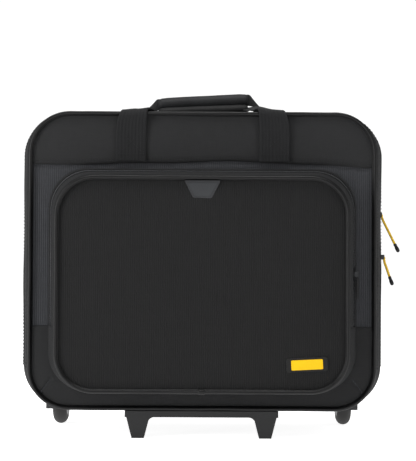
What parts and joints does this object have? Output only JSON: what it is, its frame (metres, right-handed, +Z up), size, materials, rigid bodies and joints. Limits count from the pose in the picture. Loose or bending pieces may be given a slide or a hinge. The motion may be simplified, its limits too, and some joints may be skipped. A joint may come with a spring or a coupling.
{
  "type": "rolling laptop case",
  "caption": "Soft-sided rolling laptop case with a telescoping handle, rear wheels, a front stand, zipped compartments, a zipped front pocket and padded carry handles.",
  "frame": {"origin": "on the floor, below the middle of the standing case", "axes": "+X to the right of someone facing the front pocket, -Y out of the front, +Z up"},
  "size_m": [0.482, 0.218, 0.429],
  "materials": {
    "body_fabric": "woven ballistic nylon, matt",
    "ribbed_fabric": "ribbed nylon with fine vertical cords",
    "lining": "thin grey polyester lining",
    "sleeve": "brushed padded lining",
    "piping": "smooth semi-gloss vinyl over cord",
    "webbing": "woven webbing, black",
    "zip_tape": "coil zip tape, black",
    "zip_metal": "gunmetal plated",
    "pull_cord": "yellow soft sleeve over cord",
    "pull_rubber": "soft moulded rubber",
    "patch_rubber": "soft moulded rubber, satin grey",
    "tag_black": "satin black moulding",
    "tag_yellow": "blank yellow plate",
    "grip_leather": "soft padded synthetic leather",
    "stiffener": "polypropylene sheet",
    "moulded_black": "fine moulded grain",
    "collar_plastic": "satin",
    "aluminium": "brushed, clear anodised",
    "grip_plastic": "satin black with fine grain",
    "button_plastic": "satin dark grey",
    "steel": "zinc plated",
    "tyre": "polyurethane tread, satin black",
    "hub_nylon": "grey nylon"
  },
  "bodies": {
    "case_body": {"rear_gusset": "body_fabric", "back_panel": "body_fabric", "bottom_pan": "body_fabric", "back_piping": "piping", "base_board": "stiffener", "trolley_lining": "lining", "handle_cup": "moulded_black", "outer_tubes": "aluminium", "tube_bracket": "moulded_black", "wheel_housing_left": "moulded_black", "wheel_housing_right": "moulded_black", "wheel_axles": "steel", "front_stand": "moulded_black", "case_screws": "steel", "rear_zip_back": "zip_tape", "rear_straps": "webbing"},
    "middle_shell": {"middle_gusset": "body_fabric", "divider_panel": "lining", "laptop_sleeve": "sleeve", "rear_zip_front": "zip_tape", "front_zip_back": "zip_tape", "rear_bellows": "body_fabric"},
    "front_shell": {"front_panel": "ribbed_fabric", "front_gusset": "body_fabric", "front_piping": "piping", "front_zip_front": "zip_tape", "front_straps": "webbing", "front_bellows": "body_fabric", "pocket_base": "body_fabric", "pocket_zip_back": "zip_tape"},
    "pocket_flap": {"pocket_cover": "ribbed_fabric", "pocket_piping": "piping", "pocket_zip_front": "zip_tape", "pocket_patch": "patch_rubber", "tag_base": "tag_black", "tag_plate": "tag_yellow"},
    "front_handle": {"front_loop_webbing": "webbing", "front_loop_grip": "grip_leather"},
    "rear_handle": {"rear_loop_webbing": "webbing", "rear_loop_grip": "grip_leather"},
    "lower_stage": {"middle_tubes": "aluminium", "middle_collars": "collar_plastic"},
    "upper_stage": {"inner_tubes": "aluminium", "grip_base": "grip_plastic", "grip_cover": "grip_plastic", "button_spring": "steel"},
    "button": {"push_button": "button_plastic", "push_rods": "steel"},
    "left_pin": {"lock_pin_left": "steel"},
    "right_pin": {"lock_pin_right": "steel"},
    "left_wheel": {"wheel_tyre_left": "tyre", "wheel_hub_left": "hub_nylon"},
    "right_wheel": {"wheel_tyre_right": "tyre", "wheel_hub_right": "hub_nylon"},
    "rear_zip_slider": {"rear_slider": "zip_metal"},
    "rear_zip_pull": {"rear_pull": "pull_cord"},
    "front_zip_slider": {"front_slider": "zip_metal"},
    "front_zip_pull": {"front_pull": "pull_cord"},
    "pocket_zip_slider": {"pocket_slider": "zip_metal"},
    "pocket_zip_pull": {"pocket_pull": "pull_rubber"}
  },
  "joints": [
    {"name": "rear_lid", "type": "hinge", "parent": "case_body", "child": "middle_shell", "pos_m": [0, -0.077, 0.0335], "axis": [1, 0, 0], "range_deg": [0, 20], "deforming": ["rear_bellows"]},
    {"name": "front_lid", "type": "hinge", "parent": "middle_shell", "child": "front_shell", "pos_m": [0, -0.077, 0.0335], "axis": [1, 0, 0], "range_deg": [0, 20], "deforming": ["front_bellows"]},
    {"name": "pocket_opening", "type": "hinge", "parent": "front_shell", "child": "pocket_flap", "pos_m": [0, -0.11, 0.057], "axis": [1, 0, 0], "range_deg": [0, 35]},
    {"name": "front_handle_swing", "type": "hinge", "parent": "front_shell", "child": "front_handle", "pos_m": [0, -0.07, 0.4035], "axis": [1, 0, 0], "range_deg": [0, 150]},
    {"name": "rear_handle_swing", "type": "hinge", "parent": "case_body", "child": "rear_handle", "pos_m": [0, 0.0515, 0.4035], "axis": [-1, 0, 0], "range_deg": [0, 70]},
    {"name": "handle_lower_stage", "type": "slide", "parent": "case_body", "child": "lower_stage", "axis": [0, 0, 1], "range_m": [0, 0.252]},
    {"name": "handle_upper_stage", "type": "slide", "parent": "lower_stage", "child": "upper_stage", "axis": [0, 0, 1], "range_m": [0, 0.258]},
    {"name": "handle_button", "type": "slide", "parent": "upper_stage", "child": "button", "axis": [0, 0, -1], "range_m": [0, 0.004], "stiffness_N_per_m": 600, "springref_m": -0.004, "deforming": ["button_spring"]},
    {"name": "lock_left", "type": "slide", "parent": "upper_stage", "child": "left_pin", "axis": [1, 0, 0], "range_m": [0, 0.0023]},
    {"name": "lock_right", "type": "slide", "parent": "upper_stage", "child": "right_pin", "axis": [-1, 0, 0], "range_m": [0, 0.0023]},
    {"name": "left_wheel_spin", "type": "hinge", "parent": "case_body", "child": "left_wheel", "pos_m": [-0.1875, 0.075, 0.033], "axis": [1, 0, 0], "continuous": true},
    {"name": "right_wheel_spin", "type": "hinge", "parent": "case_body", "child": "right_wheel", "pos_m": [0.1875, 0.075, 0.033], "axis": [1, 0, 0], "continuous": true},
    {"name": "rear_zip_run", "type": "slide", "parent": "case_body", "child": "rear_zip_slider", "axis": [0, 0, 1], "range_m": [0, 0.065]},
    {"name": "rear_pull_swing", "type": "hinge", "parent": "rear_zip_slider", "child": "rear_zip_pull", "pos_m": [0.23108, 0.02, 0.27779], "axis": [0, 1, 0], "range_deg": [-80, 15]},
    {"name": "front_zip_run", "type": "slide", "parent": "middle_shell", "child": "front_zip_slider", "axis": [0, 0, 1], "range_m": [0, 0.12]},
    {"name": "front_pull_swing", "type": "hinge", "parent": "front_zip_slider", "child": "front_zip_pull", "pos_m": [0.22737, -0.032, 0.22282], "axis": [0, 1, 0], "range_deg": [-80, 10]},
    {"name": "pocket_zip_run", "type": "slide", "parent": "front_shell", "child": "pocket_zip_slider", "axis": [0, 0, 1], "range_m": [-0.05, 0.06]},
    {"name": "pocket_pull_swing", "type": "hinge", "parent": "pocket_zip_slider", "child": "pocket_zip_pull", "pos_m": [0.18916, -0.084, 0.20165], "axis": [0, 1, 0], "range_deg": [-90, 0]}
  ],
  "couplings": [
    {"joint": "lock_left", "follows": "handle_button", "ratio": 0.55},
    {"joint": "lock_right", "follows": "handle_button", "ratio": 0.55}
  ]
}
